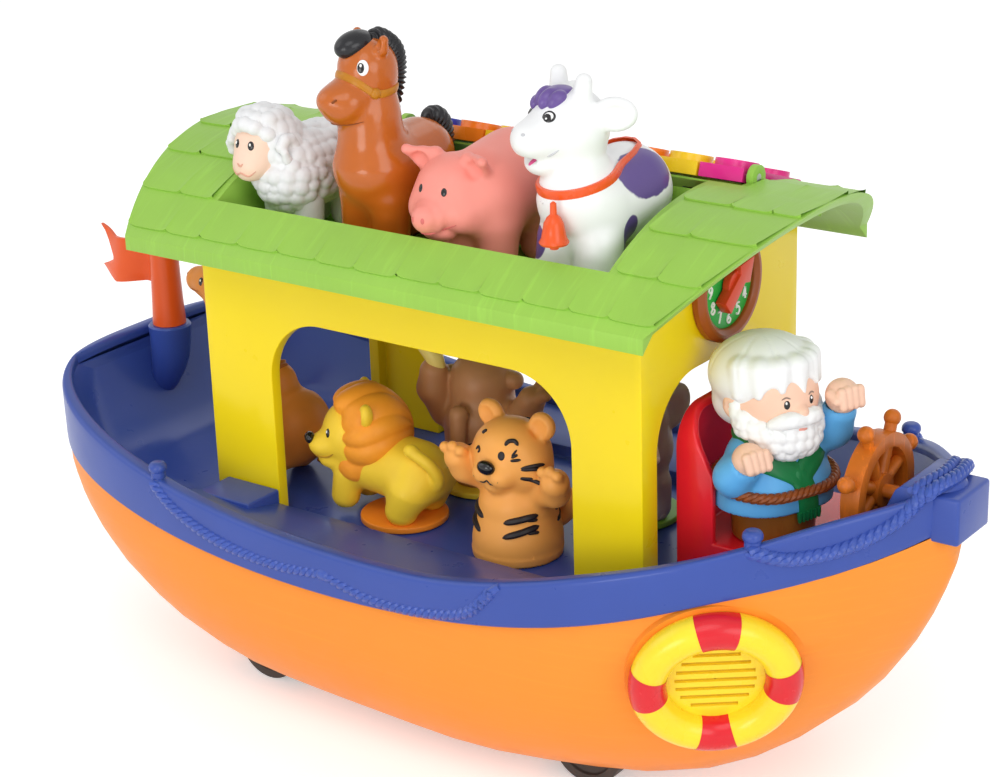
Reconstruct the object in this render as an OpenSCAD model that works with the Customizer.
// Toy ark on wheels: a moulded boat with a cabin, a roof tray with animals, music keys and a seated captain.
// Millimetres. +X is the bow, +Z is up. The origin is under the middle of the overall length, on the ground.

/* [Hull] */
// Length of the hull from stern to bow
hull_len = 391; // [380:1:400]
// How far the flag reaches aft of the stern
flag_reach = 19; // [12:1:26]
// Widest beam over the gunwale
beam = 180; // [176:1:184]
// Length of the hull forward of its widest place
fore_len = 185; // [180:1:190]
// Squareness of the stern in plan, 2 is an ellipse
stern_power = 3.6; // [3:0.1:4.2]
// Height of the rim at its lowest
rim_low = 87; // [85:0.5:89]
// Squareness of the bow in plan
bow_power = 3.4; // [3.2:0.1:3.6]
// Extra height of the rim beside the cockpit
rim_swell = 5; // [4:0.5:5.5]
// Rise of the rim towards the bow, per squared millimetre
sheer_fore = 0.00112; // [0.001:0.00002:0.0012]
// Rise of the rim towards the stern, per squared millimetre
sheer_aft = 0.00088; // [0.0008:0.00002:0.00096]
// Height of the blue band at the widest place
band_mid = 16.5; // [15:0.5:18]
// Loss of band height per millimetre towards the bow
band_taper = 0.04; // [0.03:0.002:0.045]
// Height of the flat bottom above the ground
keel_z = 5; // [4:0.5:6]
// Thickness of the moulded walls
wall = 2.5; // [2:0.1:3]

/* [Deck] */
// Level of the cabin floor and the stern well
floor_z = 76; // [75:0.5:77]
// Height of the sills beside the cabin above its floor
sill_h = 5.5; // [5:0.1:5.8]
// Level of the cockpit floor
cockpit_z = 88; // [87:0.5:89]
// Thickness of the deck floor
deck_t = 3; // [2.5:0.1:3.5]
// Width of the gunwale
gunwale_w = 7; // [6:0.5:8]
// Radius of the moulded rope
rope_r = 2.2; // [1.8:0.1:2.4]

/* [Cabin] */
// Length of the cabin
cabin_len = 198.4; // [190:0.2:200]
// Width of the cabin
cabin_w = 105.4; // [102:0.2:107]
// Place of the cabin's middle along the boat
cabin_x = 5; // [3:0.5:6]
// Thickness of the cabin walls
cabin_t = 5; // [4.5:0.1:5.5]
// Height of the cabin walls' top above the ground
cabin_top = 182; // [180:0.5:184]
// Width of the side arches
arch_w = 137.5; // [134:0.5:140]
// Width of the end arches
end_arch_w = 86; // [82:0.5:88]
// Height of the arches' top above the ground
arch_top = 157; // [155:0.5:158]
// Radius of the arches' corners
arch_r = 25; // [20:0.5:28]

/* [Roof] */
// Width of the roof over the eaves
roof_w = 152; // [150:0.5:156]
// Rise of the roof from eave to ridge
roof_rise = 30; // [28:0.5:32]
// Height of the eaves' upper edge above the cabin walls' top
eave_up = 5.5; // [5:0.1:6]
// Thickness of the roof shell
roof_t = 4; // [3.5:0.1:4.5]
// Overhang of the eaves past the cabin's ends
roof_over = 16; // [14:0.5:18]
// Extra overhang of the ridge at the bow
ridge_fore = 25.5; // [20:0.5:28]
// Extra overhang of the ridge at the stern
ridge_aft = 16; // [12:0.5:18]
// Distance of the roof tray from the cabin's aft end
tray_aft = 15.7; // [15:0.1:17]
// Distance of the roof tray from the cabin's fore end
tray_fore = 8.7; // [8.5:0.1:10]
// Width of the roof tray
tray_w = 63; // [62:0.5:63.5]
// Far edge of the tray from the boat's middle plane
tray_far = 5; // [4:0.5:5.5]
// Depth of the tray floor's plate
tray_t = 3; // [2.5:0.1:3.5]

/* [Keys] */
// Distance between neighbouring keys
key_pitch = 18.6; // [18:0.1:19]
// Gap between neighbouring keys
key_gap = 1; // [0.8:0.1:1.4]
// Length of a key from its hinge to its far end
key_reach = 46; // [42:0.5:47]
// Thickness of a key
key_t = 5; // [4:0.2:5.4]
// Slope of the keys in degrees
key_slope = 19; // [17:0.5:21]
// How far a key turns when pressed, in degrees
key_travel = 4; // [3:0.5:4]
// Radius of the key hinge rod
rod_r = 1.5; // [1.2:0.1:1.8]

/* [Wheels] */
// Radius of the road wheels
wheel_r = 15; // [14:0.5:16]
// Width of the road wheels
wheel_w = 9; // [8:0.5:10]
// Distance between the front and rear axles
wheelbase = 154; // [150:1:158]
// Distance between the wheels' middle planes
track = 90; // [88:0.5:92]
// Radius of the steel axles
axle_r = 2; // [1.8:0.1:2.2]

/* [Fittings] */
// Outer radius of the clock
clock_r = 20.8; // [19:0.2:21]
// Height of the clock's middle above the ground
clock_z = 183; // [182:0.5:184]
// Width of the seat
seat_w = 64; // [60:1:66]
// Height of the seat's back above the cockpit floor
seat_h = 58; // [54:1:60]
// Radius of the steering wheel at its knobs
helm_r = 25; // [23:0.5:25]
// Height of the steering wheel's middle above the cockpit floor
helm_up = 31; // [30:0.5:32]
// Middle radius of the life ring
ring_r = 23.4; // [22.4:0.2:24.4]
// Tube radius of the life ring
ring_tube = 6.4; // [6:0.1:6.6]
// Radius of the flag's mast at its foot
mast_r = 7; // [6:0.2:7.4]
// Height of the mast above its socket
mast_h = 40; // [36:1:44]

/* [Power] */
// Length of one cell
cell_len = 50.5; // [50:0.5:51]
// Radius of one cell
cell_r = 7.25; // [7:0.05:7.3]
// Number of cells
cells = 3; // [3:1:3]

/* [Hidden] */
$fn = 48;
// Running clearance of a shaft in its bore
fit = 0.08;
// Gap between pieces that lie on each other
seam = 0.1;
// Gap round pieces that move
gap = 0.5;
eps = 0.01;

bow_x = (hull_len + flag_reach) / 2;
stern_x = bow_x - hull_len;
beam_x = bow_x - fore_len;
aft_len = hull_len - fore_len;
sheer_x = beam_x - 15;

// Plan of the rim: a pointed curve forward, which ends in the bow block, and a squarer one aft
nose_len = 5;
nose_x = bow_x - nose_len;
function plan_t(x) = min(1, x > beam_x ? (x - beam_x) / (nose_x - beam_x) : (beam_x - x) / aft_len);
function plan(x) = beam / 2 * (x > beam_x ? 1 - pow(plan_t(x), bow_power)
    : pow(1 - pow(plan_t(x), stern_power), 1 / stern_power));

// Heights: the band follows the sheer and drops at the bow, the rim swells beside the cockpit
swell_x = sheer_x + 20;
swell_len = 90;
swell_end = 45;
band_fall = 5.5;
band_fall_x = bow_x - 75;
band_fall_len = 60;
function ease(t) = (1 - cos(180 * min(1, max(0, t)))) / 2;
function sheer_z(x) = rim_low + (x > sheer_x ? sheer_fore : sheer_aft) * pow(x - sheer_x, 2);
function rim_z(x) = sheer_z(x) + rim_swell * ease((x - swell_x) / swell_len) * ease((bow_x - x) / swell_end);
function band_z(x) = sheer_z(x) - band_mid + band_taper * (x - beam_x)
    - band_fall * ease((x - band_fall_x) / band_fall_len);

// Bottom profile: flat amidships, with an elliptic stem and stern
stem_x = bow_x - 110;
stem_len = 112;
stem_rise = 163;
counter_x = stern_x + 131;
counter_len = 127;
counter_rise = band_z(stern_x + 4) - keel_z;
function arc_rise(t) = 1 - sqrt(1 - pow(min(1, max(0, t)), 2));
function bottom_z(x) = keel_z + stem_rise * arc_rise((x - stem_x) / stem_len)
    + counter_rise * arc_rise((counter_x - x) / counter_len);

// Section of the hull: flat in the middle, then a rounded bilge that sharpens at the bow
bow_mix_x = 40;
hull_share = 0.97;
function bow_mix(x) = min(1, max(0, (x - bow_mix_x) / (bow_x - bow_mix_x)));
function stern_mix(x) = min(1, max(0, (beam_x - x) / aft_len));
function bilge(x) = 2.6 - 1.4 * bow_mix(x) - 0.4 * stern_mix(x);
function flat_share(x) = 0.42 - 0.36 * bow_mix(x) - 0.2 * stern_mix(x);
function girth(x, s) = flat_share(x) + (1 - flat_share(x)) * pow(1 - pow(1 - s, bilge(x)), 1 / bilge(x));
function hull_y(x, z) = plan(x) * hull_share
    * girth(x, min(1, max(0, (z - bottom_z(x)) / (band_z(x) - bottom_z(x)))));

// Stations are closer together at the ends
stations = 30;
ribs = 9;
hull_fore = nose_x - 4;
hull_aft = stern_x + 5;
function station(i, a, b) = (a + b) / 2 - (b - a) / 2 * cos(180 * i / stations);
function rib(j) = pow(j / ribs, 1.6);

// One ring of the hull's skin at a station, from port rim over the keel to starboard rim
function skin_ring(x, inset) = [for (j = [-ribs : ribs])
    let (s = rib(abs(j)),
         low = min(bottom_z(x) + inset, band_z(x) - 1),
         y = max(0.6, plan(x) * hull_share - inset) * girth(x, s))
    [x, -sign(j) * (j == 0 ? 0 : y), low + (band_z(x) - low) * s]];

// Triangles between rows of points of equal length
function strip(rows, n, first) = [for (i = [0 : rows - 2], j = [0 : n - 2])
    let (a = first + i * n + j, b = a + n)
    each [[a, b, a + 1], [a + 1, b, b + 1]]];
function turned(faces) = [for (f = faces) [f[0], f[2], f[1]]];
function fan(n, first) = [for (j = [1 : n - 2]) [first, first + j, first + j + 1]];

module hull_skin() {
    n = 2 * ribs + 1;
    rows = stations + 1;
    outer = [for (i = [0 : stations]) each skin_ring(station(i, hull_aft, hull_fore), 0)];
    inner = [for (i = [0 : stations])
        each skin_ring(station(i, hull_aft + 2 * wall, hull_fore - 2 * wall), wall)];
    m = rows * n;
    rims = [for (i = [0 : stations - 1], k = [0, n - 1])
        let (a = i * n + k, b = a + n, q = [[a, a + m, b], [b, a + m, b + m]])
        each (k == 0 ? turned(q) : q)];
    last = stations * n;
    ends = [[0, m, n - 1], [n - 1, m, m + n - 1], [last, last + n - 1, last + m],
            [last + n - 1, last + m + n - 1, last + m]];
    polyhedron(concat(outer, inner), concat(
        turned(strip(rows, n, 0)), strip(rows, n, m), rims, ends,
        turned(fan(n, 0)), fan(n, last), fan(n, m), turned(fan(n, last + m))));
}

// A solid along X through convex sections, each a half outline [y, z] that is mirrored
function mirrored(x, half) = concat(
    [for (p = half) [x, p[0], p[1]]],
    [for (k = [len(half) - 1 : -1 : 0]) [x, -half[k][0], half[k][1]]]);
module x_loft(sections) {
    n = len(sections[0]);
    rows = len(sections);
    sides = [for (i = [0 : rows - 2], j = [0 : n - 1])
        let (a = i * n + j, c = i * n + (j + 1) % n)
        each [[a, a + n, c], [c, a + n, c + n]]];
    polyhedron([for (s = sections) each s], concat(sides, fan(n, 0), turned(fan(n, (rows - 1) * n))));
}

// Deck surfaces: the well aft and under the cabin, and the raised cockpit forward of it
cabin_aft = cabin_x - cabin_len / 2;
cabin_fore = cabin_x + cabin_len / 2;
step_x = cabin_fore + gap;
well_rise_x = stern_x + 38;
cockpit_rise_x = bow_x - 40;
floor_taper_x = bow_x - 105;
deck_aft = stern_x + 1;
deck_fore = nose_x - 1.5;
floor_half = cabin_w / 2 + gap;
function well_z(x) = floor_z + 0.034 * pow(max(0, well_rise_x - x), 2);
function cockpit_floor(x) = cockpit_z + 0.04 * pow(max(0, x - cockpit_rise_x), 2);
function deck_z(x) = x < step_x ? well_z(x) : cockpit_floor(x);
function floor_taper(x) = max(0, (x - floor_taper_x) / (bow_x - floor_taper_x));
function floor_y(x) = min(floor_half, plan(x) * (0.68 - 0.3 * floor_taper(x)));
function inner_y(x) = max(0.5, plan(x) - gunwale_w);
function skirt_y(x) = max(0.4, plan(x) - gunwale_w + 3);

function deck_half(x) =
    let (rim = rim_z(x), low = band_z(x) + 3 * seam, out = plan(x),
         well = min(low - 2 * seam, deck_z(x) - deck_t))
    [[floor_y(x) + 1, well], [max(0.4, out - gunwale_w), low], [max(0.5, out - 1), low],
     [out, rim - 6], [out, rim - 1.5], [max(0.6, out - 2.5), rim]];
// The open inside: a floor, a slanted wall that may start with an upright sill, and the rim
function tub_half(x, floor, sill) =
    let (foot = min(floor_y(x), inner_y(x) - 0.1), rim = rim_z(x) - 3,
         knee = sill > 0 ? [foot + eps, floor + sill] : [foot, floor] * 0.8 + [inner_y(x), rim] * 0.2 - [0, 0.4])
    [[foot, floor], knee, [inner_y(x), rim], [inner_y(x), rim_z(x) + 30]];
function under_half(x) = [[skirt_y(x), -100], [skirt_y(x), rim_z(x) - 3.5 - deck_t],
    [floor_y(x) - 1, deck_z(x) - deck_t - 0.8]];

module deck_bowl() {
    tub_aft = stern_x + gunwale_w;
    tub_fore = bow_x - gunwale_w - 10;
    under_aft = stern_x + 16;
    under_fore = bow_x - 24;
    difference() {
        x_loft([for (i = [0 : stations])
            let (x = station(i, deck_aft, deck_fore)) mirrored(x, deck_half(x))]);
        x_loft(concat(
            [for (i = [0 : stations])
                let (x = station(i, tub_aft, ledge_x - seam)) mirrored(x, tub_half(x, well_z(x), 0))],
            [for (i = [0 : stations])
                let (x = station(i, ledge_x, step_x)) mirrored(x, tub_half(x, well_z(x), sill_h))],
            [for (i = [0 : stations])
                let (x = station(i, step_x + seam, tub_fore))
                mirrored(x, tub_half(x, cockpit_floor(x), 0))]));
        for (span = [[under_aft, step_x - eps], [step_x + deck_t, under_fore]])
            x_loft([for (i = [0 : stations])
                let (x = station(i, span[0], span[1])) mirrored(x, under_half(x))]);
    }
}

// Moulded rope: swags hung on the band, as drops below the rim at points along the side
stern_cleat_x = cabin_aft - 2;
bow_cleat_x = bow_x - 55;
swag_aft = [[stern_cleat_x, 2], [stern_cleat_x + 12, 8], [-62, 12], [-34, 12], [-10, 9]];
swag_mid = [[-10, 9], [10, 13], [32, 13.6], [54, 11.5], [66, 3]];
swag_bow = [[bow_cleat_x, 1], [bow_cleat_x + 10, 7], [bow_cleat_x + 24, 8], [bow_cleat_x + 37, 4],
    [bow_cleat_x + 43, -2]];
// Round ends below this radius get eight sides, larger ones ten
small_r = 7.6;
function on_side(p, s) = [p[0], s * (plan(p[0]) - 0.4 - 0.06 * p[1]), rim_z(p[0]) - p[1]];
module capsule(a, ra, b, rb) {
    n = max(ra, rb) < small_r ? 8 : 10;
    hull() {
        translate(a) sphere(ra, $fn = n);
        translate(b) sphere(rb, $fn = n);
    }
}
module swag(route, s) {
    for (i = [0 : len(route) - 2])
        capsule(on_side(route[i], s), rope_r, on_side(route[i + 1], s), rope_r);
}
module cleat(x, s) {
    p = [x, s * (plan(x) - gunwale_w / 2), rim_z(x) - 2];
    capsule(p, 3.2, p + [0, 0, 6], 3.8);
}

// Mast socket, console, bow block and side ledges stand on the deck
mast_x = stern_x + 19;
socket_z = rim_z(mast_x) + 8;
socket_depth = 14;
stub_r = mast_r - 2;
helm_x = bow_x - 39;
helm_z = cockpit_z + helm_up;
helm_shaft_r = 2.5;
console_aft = helm_x + 6;
console_len = 16;
console_foot = 10;
console_w = 32;
console_z = helm_z + 4;
block_w = 24;
block_len = 17;
block_fore = 3;
block_h = 17;
block_z = sheer_z(bow_x) - 5;
ledge_x = cabin_aft + 6;
ledge_len = 26;
ledge_w = 15;
ledge_z = floor_z + 11;

module bow_block(grow) {
    translate([bow_x - block_fore - block_len - grow, -block_w / 2 - grow, block_z - block_h - grow]) hull() {
        translate([0, 1.5, 0]) cube([block_len + 2 * grow, block_w - 3 + 2 * grow, block_h + grow]);
        translate([0, 0, 1.5]) cube([block_len - 1.5 + 2 * grow, block_w + 2 * grow, block_h - 3 + grow]);
    }
}
module deck() {
    color("royalblue") difference() {
        union() {
            deck_bowl();
            for (s = [-1, 1]) {
                swag(swag_aft, s);
                swag(swag_mid, s);
                swag(swag_bow, s);
                cleat(stern_cleat_x, s);
                cleat(bow_cleat_x, s);
                translate([ledge_x, s * (cabin_w / 2 + gap + ledge_w / 2) - ledge_w / 2, floor_z - 1])
                    cube([ledge_len, ledge_w, ledge_z - floor_z + 1]);
            }
            translate([mast_x, 0, well_z(mast_x) - 1])
                cylinder(h = socket_z - well_z(mast_x) + 1, r1 = mast_r + 1.8, r2 = mast_r + 2);
            translate([console_aft, -console_w / 2, cockpit_z - 1]) hull() {
                cube([console_foot, console_w, 2]);
                translate([2, 0, console_z - cockpit_z - 8]) cube([console_len - 2, console_w, 1]);
                translate([console_foot, 2, console_z - cockpit_z + 6])
                    cube([console_len - console_foot, console_w - 4, 1]);
            }
            bow_block(0);
        }
        translate([mast_x, 0, socket_z - socket_depth]) cylinder(h = socket_depth + 1, r = stub_r + fit * 2);
        at_ring() translate([0, 0, -ring_back - seam])
            cylinder(h = ring_back + seam, r = ring_out + 1 + seam);
        translate([console_aft - 1, 0, helm_z]) rotate([0, 90, 0])
            cylinder(h = 13, r = helm_shaft_r + fit * 2);
    }
}

// Running gear
axle_x = [stem_x - 19, stem_x - 19 - wheelbase];
bearer_y = track / 2 - 14;
bearer_t = 6;
bearer_l = 12;
floor_in = keel_z + wall;
plinth_z = keel_z + 6.6;
plinth_foot = [keel_z + 2.5, keel_z + 4.2];
pad_z = floor_in + 1.2;
pad_edge = 4;
pad_fore = 60;

// Place and outward direction of the life ring on the starboard bow
ring_x = bow_x - 67;
ring_z = 64;
ring_sink = 3;
ring_back = 5;
ring_out = ring_r + ring_tube;
function side_point(x, z) = [x, -hull_y(x, z), z];
ring_p = side_point(ring_x, ring_z);
ring_n = let (c = cross(side_point(ring_x + 1, ring_z) - side_point(ring_x - 1, ring_z),
                        side_point(ring_x, ring_z + 1) - side_point(ring_x, ring_z - 1))) c / norm(c);
module at_ring() {
    translate(ring_p - ring_sink * ring_n)
        rotate([0, acos(ring_n[2]), atan2(ring_n[1], ring_n[0])]) rotate([0, 0, 90]) children();
}
speaker_r = ring_r - ring_tube + 2;

// Battery bay in the bottom
bay_wall = 2;
bay_len = cell_len + 7.5;
bay_w = cells * (2 * cell_r + 1) + 0.5;
bay_h = 2 * cell_r + 2.5;
boss_len = 8;
bay_x0 = -bay_len / 2;
door_len = bay_len + boss_len;
screw_x = bay_len / 2 + boss_len / 2;
screw_r = 1.25;
switch_x = bay_x0 - 18;
switch_travel = 6;
switch_len = 8;
switch_w = 6;

module hull_shell() {
    color("orange") difference() {
        union() {
            hull_skin();
            at_ring() translate([0, 0, -ring_back]) cylinder(h = ring_back, r = ring_out + 1);
            translate([bay_x0 - pad_edge, -bay_w / 2 - pad_edge, keel_z])
                cube([pad_fore - bay_x0 + pad_edge, bay_w + 2 * pad_edge, pad_z - keel_z]);
            for (k = [0, 1], s = [-1, 1])
                translate([axle_x[k] - bearer_l / 2, s * bearer_y - bearer_t / 2, plinth_foot[k]])
                    cube([bearer_l, bearer_t, plinth_z - plinth_foot[k]]);
        }
        at_ring() cylinder(h = 30, r = ring_out + 2);
        bow_block(seam);
        at_ring() translate([0, 0, -30]) cylinder(h = 31, r = speaker_r + 0.3);
        for (x = axle_x, s = [-1, 1])
            translate([x, s * track / 2, 0])
                cube([2 * wheel_r + 6, wheel_w + 4, 4 * wheel_r], center = true);
        translate([bay_x0, -bay_w / 2, 0]) cube([door_len, bay_w, 20]);
        translate([switch_x - switch_travel - gap, -switch_w / 2 - gap, 0])
            cube([switch_len + switch_travel + 2 * gap, switch_w + 2 * gap, 20]);
    }
}

module axle(x) {
    color("silver") translate([x, 0, wheel_r]) rotate([90, 0, 0])
        cylinder(h = track + wheel_w + 3, r = axle_r, center = true);
}
module front_axle() { axle(axle_x[0]); }
module rear_axle() { axle(axle_x[1]); }
module wheel(x, s) {
    color("dimgray") translate([x, s * track / 2, wheel_r]) rotate([90, 0, 0]) rotate_extrude() difference() {
        translate([axle_r + fit / 4, -wheel_w / 2]) square([wheel_r - axle_r - fit / 4, wheel_w]);
        for (k = [-1, 1])
            translate([wheel_r / 2 + 1, k * wheel_w / 2]) square([wheel_r / 2 - 2, 3], center = true);
    }
}
module wheel_front_port() { wheel(axle_x[0], 1); }
module wheel_front_starboard() { wheel(axle_x[0], -1); }
module wheel_rear_port() { wheel(axle_x[1], 1); }
module wheel_rear_starboard() { wheel(axle_x[1], -1); }

module axle_bearers() {
    color("darkorange") for (x = axle_x, s = [-1, 1])
        translate([x, s * bearer_y, 0]) difference() {
            translate([-bearer_l / 2, -bearer_t / 2, plinth_z + seam])
                cube([bearer_l, bearer_t, wheel_r - plinth_z + axle_r + 4]);
            translate([0, 0, wheel_r]) rotate([90, 0, 0]) cylinder(h = 20, r = axle_r + fit, center = true);
        }
}

board_l = 56;
board_w = 38;
post_h = 3;
bay_top = pad_z + seam + bay_h + bay_wall;
module battery_box() {
    z0 = pad_z + seam;
    color("darkorange") {
        difference() {
            translate([bay_x0 - bay_wall, -bay_w / 2 - bay_wall, z0])
                cube([door_len + 2 * bay_wall, bay_w + 2 * bay_wall, bay_h + bay_wall]);
            translate([bay_x0, -bay_w / 2, z0 - 1]) cube([bay_len, bay_w, bay_h + 1]);
            translate([screw_x, 0, z0 - 1]) cylinder(h = bay_h, r = screw_r + fit);
            translate([bay_x0 + bay_len - eps, -bay_w / 2, z0 - 1]) cube([boss_len + eps, bay_w, 1.2]);
        }
        for (dx = [-1, 1], dy = [-1, 1])
            translate([dx * (board_l / 2 - 4), dy * (board_w / 2 - 4), bay_top - eps])
                cylinder(h = post_h + eps, r = 2.5);
    }
}
cell_z = floor_in + 0.2 + cell_r;
function cell_y(k) = (k - (cells - 1) / 2) * (2 * cell_r + 1);
module battery_cells() {
    color("dimgray") for (k = [0 : cells - 1])
        translate([-cell_len / 2, cell_y(k), cell_z]) rotate([0, 90, 0]) {
            cylinder(h = cell_len - 1.5, r = cell_r);
            cylinder(h = cell_len, r = 2.7);
        }
}
module battery_contacts() {
    reach = (bay_len - cell_len) / 2 - 0.3;
    color("silver") for (k = [0 : cells - 1], s = [-1, 1])
        translate([s * (bay_len / 2 - 0.1), cell_y(k), cell_z]) rotate([0, -s * 90, 0]) {
            translate([0, 0, 0.4]) cube([10, 10, 0.8], center = true);
            cylinder(h = reach, r1 = 4, r2 = 2.5);
        }
}
module battery_door() {
    edge = 0.3;
    color("orange") difference() {
        translate([bay_x0 + edge, -bay_w / 2 + edge, keel_z])
            cube([door_len - 2 * edge, bay_w - 2 * edge, wall]);
        translate([screw_x, 0, 0]) cylinder(h = 20, r = screw_r + 0.3);
        translate([screw_x, 0, 0]) cylinder(h = keel_z + 1.7, r = 3);
        for (k = [-3 : 3]) translate([-10 + k * 2, -6, 0]) cube([1, 12, keel_z + 0.6]);
    }
}
module door_screw() {
    color("silver") translate([screw_x, 0, keel_z + 0.2]) difference() {
        union() {
            cylinder(h = 1.5, r = 2.6);
            cylinder(h = 10, r = screw_r);
        }
        cube([4, 0.8, 1.6], center = true);
        cube([0.8, 4, 1.6], center = true);
    }
}
module circuit_board() {
    z0 = bay_top + post_h;
    color("seagreen") {
        translate([-board_l / 2, -board_w / 2, z0]) cube([board_l, board_w, 1.6]);
        for (p = [[-14, -6, 14], [8, -8, 10], [8, 6, 8]])
            translate([p[0], p[1], z0 + 1.5]) cube([p[2], p[2], 2.6]);
    }
}
module power_switch() {
    color("black") {
        translate([switch_x, -switch_w / 2, keel_z + 0.4]) cube([switch_len, switch_w, wall + 0.5]);
        translate([switch_x - 2, -switch_w / 2 - 2, floor_in + 0.6])
            cube([switch_len + 4, switch_w + 4, 1.5]);
    }
}

slot_pitch = 3.8;
slot_w = 1.6;
function slot_len(y) = 2 * sqrt(pow(ring_r - ring_tube - 3, 2) - pow(y, 2));
module life_ring() {
    color("gold") at_ring() translate([0, 0, seam]) {
        rotate_extrude() intersection() {
            translate([ring_r, ring_tube * 0.55]) circle(ring_tube);
            square([2 * ring_out, 2 * ring_out]);
        }
        difference() {
            cylinder(h = 2.4, r = ring_r - ring_tube * 0.7);
            for (k = [-3 : 3])
                translate([0, k * slot_pitch, 0]) cube([slot_len(k * slot_pitch), slot_w, 9], center = true);
        }
    }
}
module speaker() {
    color("dimgray") at_ring() rotate_extrude() polygon([
        [0, -16], [9, -16], [9, -9], [speaker_r - 4, -4], [speaker_r, -4], [speaker_r, -1],
        [speaker_r - 3, -1], [4, -7], [0, -6]]);
}

// Cabin
arch_base = floor_z - 1;
module arch(w, length) {
    h = arch_top - arch_base;
    translate([0, 0, arch_base]) rotate([90, 0, 0]) linear_extrude(length, center = true) {
        translate([-w / 2, 0]) square([w, h - arch_r]);
        translate([-w / 2 + arch_r, 0]) square([w - 2 * arch_r, h]);
        for (s = [-1, 1]) translate([s * (w / 2 - arch_r), h - arch_r]) circle(arch_r);
    }
}
roof_r = (pow(roof_w / 2, 2) + pow(roof_rise, 2)) / (2 * roof_rise);
ridge_z = cabin_top + eave_up + roof_rise;
roof_axis_z = ridge_z - roof_r;
module along_roof(r, x0, x1) {
    translate([x0, 0, roof_axis_z]) rotate([0, 90, 0]) cylinder(h = x1 - x0, r = r, $fn = 120);
}
rod_y = 13;
rod_z = ridge_z + 1;
bed_w = key_t / 2 + key_reach * sin(key_travel) + 1.6;
bed_t = 2;
module key_frame() {
    translate([0, rod_y, rod_z]) rotate([-key_slope, 0, 0]) children();
}
clock_bore = 2.2;
// The side arch lies a little forward of the cabin's middle
arch_x = cabin_x + 1.3;
module cabin() {
    color("gold") difference() {
        translate([cabin_aft, -cabin_w / 2, floor_z + seam])
            cube([cabin_len, cabin_w, roof_axis_z + roof_r - floor_z]);
        translate([cabin_aft + cabin_t, -cabin_w / 2 + cabin_t, floor_z - 1])
            cube([cabin_len - 2 * cabin_t, cabin_w - 2 * cabin_t, 200]);
        translate([cabin_aft + cabin_t, -cabin_w, cabin_top - seam])
            cube([cabin_len - 2 * cabin_t, 2 * cabin_w, 100]);
        difference() {
            translate([cabin_aft - 1, -cabin_w, cabin_top - seam]) cube([cabin_len + 2, 2 * cabin_w, 100]);
            along_roof(roof_r - roof_t - seam, cabin_aft - 2, cabin_fore + 2);
        }
        translate([arch_x, 0, 0]) arch(arch_w, 2 * cabin_w);
        translate([cabin_x, 0, 0]) rotate([0, 0, 90]) arch(end_arch_w, 2 * cabin_len);
        key_frame() translate([-200, -14, -bed_w - bed_t - 0.3]) cube([400, 80, 60]);
        translate([cabin_fore - 10, 0, clock_z]) rotate([0, 90, 0]) cylinder(h = 20, r = clock_bore + fit);
    }
}

// Roof
tray_len = cabin_len - tray_aft - tray_fore;
tray_x = cabin_x + (tray_aft - tray_fore) / 2;
tray_z = cabin_top + tray_t;
module tray_box(grow, low) {
    translate([tray_x - tray_len / 2 - grow, tray_far - tray_w - grow, low])
        cube([tray_len + 2 * grow, tray_w + 2 * grow, 60]);
}
// The key row's middle lies this far behind the cabin's fore end
keys_back = 71.2;
key_count = 8;
keys_mid = cabin_fore - keys_back;
key_span = key_count * key_pitch + 2;
bed_u0 = -7;
bed_u1 = key_reach + 2;
module roof() {
    aft = cabin_aft - roof_over;
    fore = cabin_fore + roof_over;
    eave_z = cabin_top + eave_up;
    color("yellowgreen") difference() {
        union() {
            difference() {
                along_roof(roof_r, aft - 60, fore + 60);
                along_roof(roof_r - roof_t, aft - 61, fore + 61);
            }
            intersection() {
                tray_box(wall, cabin_top);
                along_roof(roof_r, aft, fore);
            }
            intersection() {
                key_frame() translate([keys_mid - key_span / 2 - wall, bed_u0 - wall, -bed_w - bed_t])
                    cube([key_span + 2 * wall, bed_u1 - bed_u0 + 2 * wall, bed_w + bed_t]);
                along_roof(roof_r, aft - 60, fore + 60);
            }
            for (s = [-1, 1]) key_frame() translate([keys_mid + s * (key_span / 2 + 1.25), 0, 0])
                rotate([0, 90, 0]) cylinder(h = 2.5, r = 4.5, center = true);
        }
        translate([aft - 100, -roof_w, -100]) cube([fore - aft + 200, 2 * roof_w, 100 + cabin_top]);
        for (s = [-1, 1]) translate([aft - 100, s > 0 ? roof_w / 2 : -roof_w / 2 - 100, 0])
            cube([fore - aft + 200, 100, 400]);
        translate([0, 200, 0]) rotate([90, 0, 0]) linear_extrude(400) {
            polygon([[aft, cabin_top - 1], [aft, eave_z], [aft - ridge_aft * 2, eave_z + roof_rise * 2],
                     [aft - 200, 400], [aft - 200, cabin_top - 1]]);
            polygon([[fore, cabin_top - 1], [fore, eave_z], [fore + ridge_fore * 2, eave_z + roof_rise * 2],
                     [fore + 200, 400], [fore + 200, cabin_top - 1]]);
        }
        tray_box(0, tray_z);
        key_frame() translate([keys_mid - key_span / 2, bed_u0, -bed_w])
            cube([key_span, bed_u1 - bed_u0, 60]);
        key_frame() translate([keys_mid, 0, 0]) rotate([0, 90, 0])
            cylinder(h = key_span + 20, r = rod_r + fit / 4, center = true);
    }
}

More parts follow.
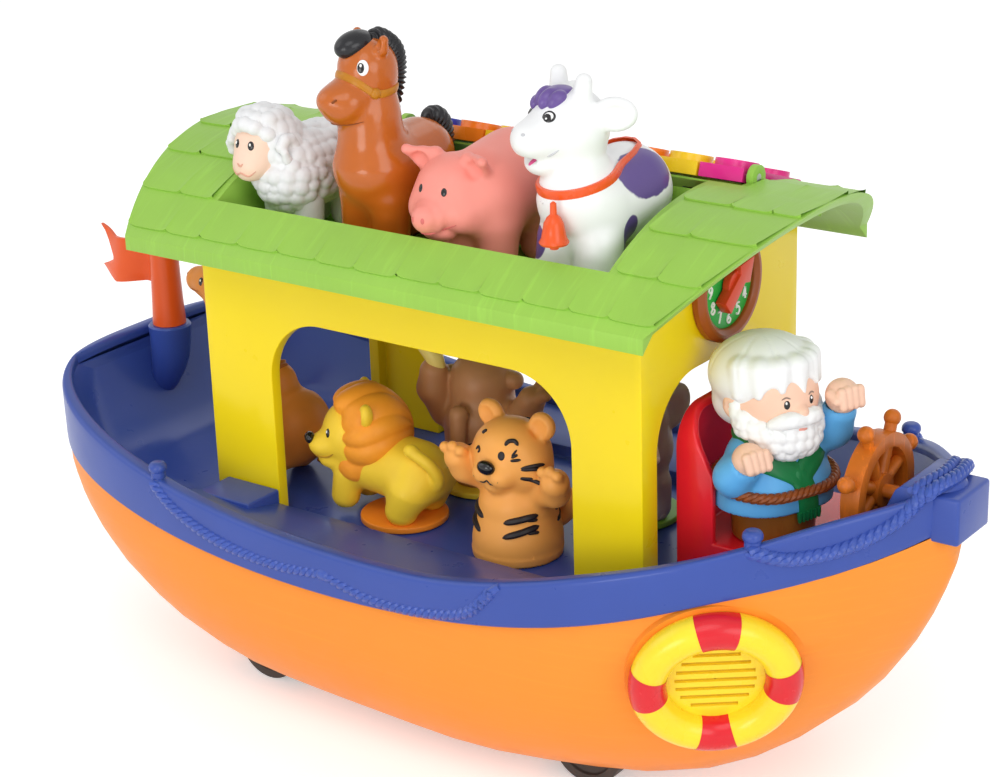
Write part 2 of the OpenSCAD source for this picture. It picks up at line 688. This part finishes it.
module key_rod() {
    color("silver") key_frame() translate([keys_mid, 0, 0]) rotate([0, 90, 0])
        cylinder(h = key_span + 5, r = rod_r, center = true);
}
module key_pads() {
    color("dimgray") key_frame() translate([keys_mid - key_span / 2 + 2, key_reach - 10, -bed_w + seam]) {
        cube([key_span - 4, 8, 0.6]);
        for (k = [0 : key_count - 1]) translate([(k + 0.5) * key_pitch - 1, 4, 0]) cylinder(h = 1, r = 3);
    }
}
key_colours = ["blue", "orange", "gold", "deeppink"];
disc_r = (key_pitch - key_gap) / 2 - 1;
function key_x(k) = keys_mid + (k - (key_count - 1) / 2) * key_pitch;
module music_key(k) {
    w = key_pitch - key_gap;
    color(key_colours[k % 4]) key_frame() translate([key_x(k), 0, 0]) difference() {
        union() {
            translate([-w / 2, -4.5, -key_t / 2]) cube([w, key_reach - 3.5, key_t]);
            translate([-w / 4, key_reach - 9, -key_t / 2]) cube([w / 2, 9, key_t - 1.5]);
            translate([0, disc_r - 2, 0]) cylinder(h = key_t / 2 + 2.6, r = disc_r);
            translate([0, key_reach - disc_r - 8, 0]) cylinder(h = key_t / 2 + 2, r = disc_r - 0.6);
        }
        rotate([0, 90, 0]) cylinder(h = 2 * w, r = rod_r + fit, center = true);
        translate([-1.5, key_reach - 5, -key_t]) cube([3, 2.4, 3 * key_t]);
    }
}
module key_1() { music_key(0); }
module key_2() { music_key(1); }
module key_3() { music_key(2); }
module key_4() { music_key(3); }
module key_5() { music_key(4); }
module key_6() { music_key(5); }
module key_7() { music_key(6); }
module key_8() { music_key(7); }

// Clock on the cabin's front
dial_r = clock_r - 5;
module clock_face() {
    translate([cabin_fore + seam, 0, clock_z]) rotate([0, 90, 0]) children();
}
module clock_bezel() {
    color("sienna") clock_face() rotate_extrude() polygon([
        [dial_r + fit, 0], [clock_r, 0], [clock_r, 2.5], [clock_r - 1.5, 4.5], [dial_r + 2, 4.5],
        [dial_r + fit, 3.2]]);
}
module clock_dial() {
    color("seagreen") clock_face() difference() {
        cylinder(h = 2.2, r = dial_r);
        translate([0, 0, -1]) cylinder(h = 10, r = clock_bore + fit);
    }
}
module clock_hand() {
    color("orangered") clock_face() {
        translate([0, 0, -cabin_t]) cylinder(h = cabin_t + 3, r = clock_bore);
        translate([0, 0, 2.7]) cylinder(h = 2.8, r = 5);
        translate([0, 0, 2.7]) rotate([0, 0, 40]) linear_extrude(4.2) polygon([
            [-3, -10], [3, -10], [2.4, 3], [5, 5], [0, 13], [-5, 5], [-2.4, 3]]);
    }
}

// Seat
seat_aft = cabin_fore + 0.4;
seat_len = 44;
pan_t = 11;
seat_t = 2.8;
wing_len = 12;
seat_corner = 14;
wing_slope = 62;
module seat_back(w, low, high, corner) {
    translate([-w / 2, low]) square([w, high - corner - low]);
    translate([-w / 2 + corner, low]) square([w - 2 * corner, high - low]);
    for (s = [-1, 1]) translate([s * (w / 2 - corner), high - corner]) circle(corner);
}
module seat() {
    z0 = cockpit_z + seam;
    color("crimson") translate([seat_aft, 0, z0]) {
        translate([0, -seat_w / 2, 0]) cube([seat_len, seat_w, pan_t]);
        difference() {
            rotate([90, 0, 90]) linear_extrude(seat_t + wing_len) seat_back(seat_w, 0, seat_h, seat_corner);
            translate([seat_t, 0, 0]) rotate([90, 0, 90]) linear_extrude(99)
                seat_back(seat_w - 2 * seat_t, pan_t, seat_h - seat_t, seat_corner - seat_t);
            translate([seat_t, -seat_w, seat_h]) rotate([0, wing_slope, 0]) cube([90, 2 * seat_w, 60]);
        }
    }
}

// Steering wheel, facing aft
module steering_wheel() {
    hub_r = 6;
    knob_r = 3;
    rim_r = helm_r - 7;
    rim_t = 5;
    rim_h = 7;
    dish_t = 2;
    color("peru") translate([helm_x, 0, helm_z]) rotate([0, 90, 0]) {
        rotate_extrude() translate([rim_r - rim_t / 2, -rim_h / 2]) square([rim_t, rim_h]);
        translate([0, 0, -rim_h / 2]) cylinder(h = dish_t, r = rim_r);
        translate([0, 0, -3]) cylinder(h = 6, r = hub_r);
        cylinder(h = console_aft - helm_x + 10, r = helm_shaft_r);
        for (k = [0 : 7]) rotate([0, 0, 45 * k + 22.5]) {
            translate([hub_r - 1, 0, 0]) rotate([0, 90, 0]) cylinder(h = helm_r - hub_r, r = 2.2);
            translate([helm_r, 0, 0]) sphere(knob_r);
        }
    }
}

// Flag on its mast
flag_len = mast_x + bow_x;
module flag() {
    color("orangered") translate([mast_x, 0, 0]) {
        translate([0, 0, socket_z - socket_depth + 1]) cylinder(h = socket_depth, r = stub_r);
        translate([0, 0, socket_z + seam]) cylinder(h = mast_h, r1 = mast_r, r2 = mast_r - 1.2);
        translate([0, 0, socket_z + seam + mast_h]) sphere(mast_r - 1.2);
        translate([0, 1.4, socket_z]) rotate([90, 0, 0]) linear_extrude(2.8) polygon([
            [0, 14], [-14, 17], [-flag_len * 0.75, 14], [-flag_len + 1, 20], [-flag_len * 0.72, 28],
            [-flag_len, 38], [-flag_len * 0.7, 34], [-14, 36], [0, 30]]);
    }
}

// Figures: rounded bodies cut flat below, each facing +X before it is turned into its place
rest = 0.3;
disc_t = 2.6;
tray_rest = tray_z + rest;
cabin_rest = floor_z + rest;
seat_rest = cockpit_z + seam + pan_t + rest;
// Places along the tray's row, from the aft figure to the fore one, and along the cabin
row_aft = 17.5;
row_fore = 23.5;
tray_first = tray_x - tray_len / 2 + row_aft;
tray_last = tray_x + tray_len / 2 - row_fore;
function tray_row(share) = tray_first + (tray_last - tray_first) * share;
function in_cabin(share) = cabin_aft + cabin_len * share;
module place_figure(x, y, z, turn) {
    translate([x, y, z]) rotate([0, 0, turn]) children();
}
module cut_flat(level) {
    difference() {
        union() children();
        translate([-100, -100, level - 100]) cube([200, 200, 100]);
    }
}

module sheep() {
    color("white") place_figure(tray_row(0), -26, tray_rest, -90) cut_flat(0) {
        // Body
        capsule([-9, 0, 25], 15.5, [9, 0, 24], 15.5);
        // Front leg
        capsule([9, 7, 14], 6, [9, 7, 4], 5.5);
        capsule([9, -7, 14], 6, [9, -7, 4], 5.5);
        // Hind leg
        capsule([-12, 7, 14], 6, [-12, 7, 4], 5.5);
        capsule([-12, -7, 14], 6, [-12, -7, 4], 5.5);
        // Head
        capsule([16, -8, 34], 11, [14, -5, 39], 9);
        // Face
        capsule([21, -12, 30], 7.5, [19, -10, 35], 8.5);
        // Ear
        capsule([12, -17, 33], 3, [13, -19, 31], 3);
        capsule([20, 3, 33], 3, [22, 4, 30], 3);
        // Tail
        capsule([-23, 0, 28], 4, [-25, 0, 23], 3);
    }
}

module horse() {
    color("peru") place_figure(tray_row(0.323), -24, tray_rest, -90) cut_flat(0) {
        // Body
        capsule([-10, 0, 31], 14, [10, 0, 29], 15.5);
        // Front leg
        capsule([15, 7, 20], 7.5, [16, 7, 5], 6.5);
        capsule([15, -7, 20], 7.5, [16, -7, 5], 6.5);
        // Hind leg
        capsule([-12, 7, 20], 8, [-12, 7, 5], 6.5);
        capsule([-12, -7, 20], 8, [-12, -7, 5], 6.5);
        // Chest
        capsule([15, -1, 34], 14, [15, -1, 50], 10.5);
        // Neck
        capsule([15, -1, 50], 10.5, [14, -1, 70], 10);
        // Muzzle
        capsule([16, -2, 66], 10, [25, -6, 59], 8);
        // Ear
        capsule([11, -8, 77], 2, [10, -9, 80], 1.5);
        capsule([15, 6, 77], 2, [15, 7, 80], 1.5);
        // Mane
        capsule([6, 1, 48], 3.5, [7, 1, 77], 4.5);
        // Forelock
        capsule([9, 0, 79], 4.5, [19, -5, 79], 4.5);
        // Tail
        capsule([-18, 0, 44], 4, [-22.5, 0, 38], 5);
        capsule([-22.5, 0, 38], 5, [-23, 0, 26], 4);
    }
}

module pig() {
    color("pink") place_figure(tray_row(0.654), -25, tray_rest, -90) cut_flat(0) {
        // Body
        capsule([-11, 0, 29], 17.5, [5, 0, 27], 17.5);
        // Front leg
        capsule([10, 8, 16], 7.5, [11, 8, 4.5], 6.5);
        capsule([10, -8, 16], 7.5, [11, -8, 4.5], 6.5);
        // Hind leg
        capsule([-14, 8, 16], 7.5, [-14, 8, 4.5], 6.5);
        capsule([-14, -8, 16], 7.5, [-14, -8, 4.5], 6.5);
        // Head
        capsule([14, -7, 29], 14, [17, -8, 27], 13);
        // Snout
        capsule([24, -12, 24], 8, [28, -15, 23], 5.5);
        // Ear
        capsule([13, -17, 42], 4, [14, -19, 45], 2.5);
        capsule([18, 4, 42], 4.5, [20, 6, 44], 3);
        // Tail
        capsule([-27, 0, 33], 2, [-26, 3, 36], 1.6);
    }
}

module cow() {
    color("white") place_figure(tray_row(1), -25, tray_rest, -90) cut_flat(0) {
        // Body
        capsule([-13, 0, 30], 16.5, [7, -1, 28], 16.5);
        // Front leg
        capsule([13, 6.5, 18], 8.5, [15, 7, 5], 7.5);
        capsule([13, -9, 18], 8.5, [15, -10, 5], 7.5);
        // Hind leg
        capsule([-15, 8, 18], 8.5, [-15, 8, 5], 7.5);
        capsule([-15, -8, 18], 8.5, [-15, -8, 5], 7.5);
        // Chest
        capsule([13, -2, 34], 14, [13, -3, 48], 11.5);
        // Head
        capsule([13, -5, 56], 13, [14, -6, 58], 12);
        // Muzzle
        capsule([19, -9, 54], 10.5, [26, -14, 50], 7.5);
        // Ear
        capsule([12, 9, 61], 4, [12, 16, 62], 5);
        capsule([7, -14, 61], 3.5, [3, -18, 63], 4);
        // Horn
        capsule([13, 4, 68], 3, [13, 5, 72], 2.4);
        capsule([9, -12, 68], 3, [9, -13, 72], 2.4);
        // Bell
        capsule([26, -6, 27], 4.5, [24, -6, 34], 2.5);
    }
}

module lion() {
    color("gold") place_figure(in_cabin(0.3387), -29, cabin_rest + disc_t, 180) cut_flat(0) {
        // Body
        capsule([-14, 0, 17], 12.5, [6, 0, 19], 12);
        // Front leg
        capsule([14, 7, 14], 6, [16, 7, 4.5], 5.5);
        capsule([14, -7, 14], 6, [16, -7, 4.5], 5.5);
        // Hind leg
        capsule([-16, 8, 13], 8, [-13, 9, 5], 6);
        capsule([-16, -8, 13], 8, [-13, -9, 5], 6);
        // Mane
        capsule([9, 0, 32], 17.5, [11, 1, 33], 17);
        // Face
        capsule([17, 6, 31], 11.5, [20, 6, 30], 11);
        // Muzzle
        capsule([24, 7, 26], 7, [29, 9, 27], 5);
        // Ear
        capsule([9, 13, 46], 4, [9, 14, 48], 3.5);
        capsule([12, -8, 49], 4, [12, -8, 51], 3.5);
        // Tail
        capsule([-24, 2, 12], 3, [-20, 12, 8], 4);
    }
}

module tiger() {
    color("orange") place_figure(in_cabin(0.6512), -30, cabin_rest, -94) cut_flat(0) {
        // Body
        capsule([0, 0, 10], 15, [0, 0, 18], 14);
        // Foot
        capsule([8, 9, 6], 7, [12, 9, 5], 6);
        capsule([8, -9, 6], 7, [12, -9, 5], 6);
        // Chest
        capsule([0, 0, 24], 12, [2, 0, 30], 10);
        // Head
        capsule([2, 0, 38], 14.5, [3, 0, 40], 14);
        // Muzzle
        capsule([13, -1, 35], 7, [15, -1, 35], 5.5);
        // Ear
        capsule([-1, 10, 51], 4, [-1, 12, 53], 3);
        capsule([1, -11, 51], 4, [1, -12, 54], 3);
        // Raised arm
        capsule([4, -10, 27], 5.5, [12, -13, 33], 5);
        // Paw
        capsule([12, -13, 33], 5, [13, -15, 37], 6);
        // Arm
        capsule([1, 11, 26], 5.5, [4, 21, 29], 5.5);
        // Tail
        capsule([-12, 0, 8], 4, [-15, 6, 12], 3.5);
    }
}

module gorilla() {
    color("saddlebrown") place_figure(in_cabin(0.4042), 14, cabin_rest + disc_t, -75) cut_flat(0) {
        // Body
        capsule([0, 0, 10], 15, [0, 0, 24], 15);
        // Foot
        capsule([-8, 10, 7], 8, [-11, 11, 6], 7);
        capsule([-8, -10, 7], 8, [-11, -11, 6], 7);
        // Chest
        capsule([-1, 0, 26], 13, [-2, 0, 30], 12);
        // Head
        capsule([-1, 0, 38], 13, [-2, 0, 41], 12.5);
        // Muzzle
        capsule([-9, 0, 35], 8, [-11, 0, 34], 7);
        // Ear
        capsule([-1, 13, 42], 4, [-1, 14, 42], 3.5);
        capsule([-1, -13, 42], 4, [-1, -14, 42], 3.5);
        // Arm
        capsule([0, -15, 27], 6.5, [6, -18, 38], 5.5);
        // Hand
        capsule([6, -18, 38], 5.5, [6, -17, 46], 5.5);
        // Arm
        capsule([0, 14, 27], 6.5, [9, 22, 33], 6);
        // Hand
        capsule([9, 22, 33], 6, [12, 26, 41], 5.5);
        // Fingers
        capsule([12, 26, 41], 3, [12, 32, 47], 2);
        // Tail
        capsule([14, -3, 31], 3, [15, -3, 8], 3.5);
    }
}

module elephant() {
    color("gray") place_figure(in_cabin(0.7419), 20, cabin_rest + disc_t, -55) cut_flat(0) {
        // Body
        capsule([-8, 0, 27], 15, [4, 0, 27], 15);
        // Front leg
        capsule([9, 7, 14], 7, [9, 7, 5], 6.5);
        capsule([9, -7, 14], 7, [9, -7, 5], 6.5);
        // Hind leg
        capsule([-11, 7, 14], 7, [-11, 7, 5], 6.5);
        capsule([-11, -7, 14], 7, [-11, -7, 5], 6.5);
        // Head
        capsule([7, 0, 41], 14, [9, 0, 43], 13);
        // Ear
        capsule([2, 13, 44], 6, [1, 17, 38], 5);
        capsule([2, -13, 44], 6, [1, -17, 38], 5);
        // Trunk
        capsule([19, 0, 34], 6, [23, 0, 22], 4.5);
        capsule([23, 0, 22], 4.5, [26, 0, 15], 4);
        // Tail
        capsule([-22, 0, 30], 2, [-24, 0, 20], 2);
    }
}

module camel() {
    color("darkorange") place_figure(cabin_aft + 8.2, -19, cabin_rest, 180) cut_flat(0) {
        // Body
        capsule([-1, 0, 21], 17, [11, 0, 26], 13);
        // Front leg
        capsule([16, 6, 20], 6.5, [17, 6, 4.5], 5);
        capsule([16, -6, 20], 6.5, [17, -6, 4.5], 5);
        // Hind leg
        capsule([0, 9, 12], 7.5, [3, 10, 5], 5);
        capsule([0, -9, 12], 7.5, [3, -10, 5], 5);
        // Hump
        capsule([4, 0, 38], 7, [6, 0, 41], 5);
        // Neck
        capsule([15, 0, 32], 11, [24, 0, 50], 8);
        capsule([24, 0, 50], 8, [29, 0, 70], 7.5);
        // Head
        capsule([31, 0, 74], 8.5, [43, 0, 76], 5.5);
        // Ear
        capsule([26, 5, 81], 2.2, [25, 6, 84], 1.6);
        capsule([26, -5, 81], 2.2, [25, -6, 84], 1.6);
        // Tail
        capsule([-17, 0, 22], 2.2, [-17, 0, 12], 2);
    }
}

boot_h = 13;
boot_r = 15.2;
module captain() {
    color("skyblue") place_figure(seat_aft + 26.9, -11, seat_rest, -23) cut_flat(boot_h + seam) {
        // Waist
        capsule([0, -6, 20], 14.5, [0, 6, 20], 14.5);
        // Coat
        capsule([0, -5, 15], 16.5, [0, 5, 15], 16.5);
        // Shoulders
        capsule([0, -7, 30], 10.5, [0, 7, 30], 10.5);
        // Head and hair
        capsule([-4, -2, 54], 18.5, [-3, -2, 54], 18.5);
        // Beard
        capsule([2, 0, 47], 17, [7, 1, 40], 11);
        // Near arm
        capsule([2, -16, 29], 6.5, [5, -20, 28], 6.5);
        // Near hand
        capsule([5, -20, 28], 6.5, [10, -18, 34], 6);
        // Far arm
        capsule([2, 15, 29], 6.5, [9, 20, 38], 6.5);
        // Far hand
        capsule([9, 20, 38], 6, [16, 18, 52], 6.5);
    }
}
module captain_base() {
    color("sienna") place_figure(seat_aft + 26.9, -11, seat_rest, 0) {
        cylinder(h = boot_h, r1 = boot_r - 0.8, r2 = boot_r);
    }
}

// Round discs that three of the cabin figures stand on
module lion_base() {
    color("orange") place_figure(in_cabin(0.374), -29, cabin_rest, 0) cylinder(h = disc_t - seam, r = 17);
}
module gorilla_base() {
    color("gold") place_figure(in_cabin(0.4042), 14, cabin_rest, 0) cylinder(h = disc_t - seam, r = 17);
}
module elephant_base() {
    color("yellowgreen") place_figure(in_cabin(0.7419), 20, cabin_rest, 0)
        cylinder(h = disc_t - seam, r = 18);
}

hull_shell();
deck();
cabin();
roof();
key_rod();
key_pads();
key_1();
key_2();
key_3();
key_4();
key_5();
key_6();
key_7();
key_8();
clock_bezel();
clock_dial();
clock_hand();
seat();
steering_wheel();
flag();
life_ring();
speaker();
front_axle();
rear_axle();
wheel_front_port();
wheel_front_starboard();
wheel_rear_port();
wheel_rear_starboard();
axle_bearers();
battery_box();
battery_cells();
battery_contacts();
battery_door();
door_screw();
circuit_board();
power_switch();
captain();
captain_base();
sheep();
horse();
pig();
cow();
lion();
lion_base();
tiger();
gorilla();
gorilla_base();
elephant();
elephant_base();
camel();
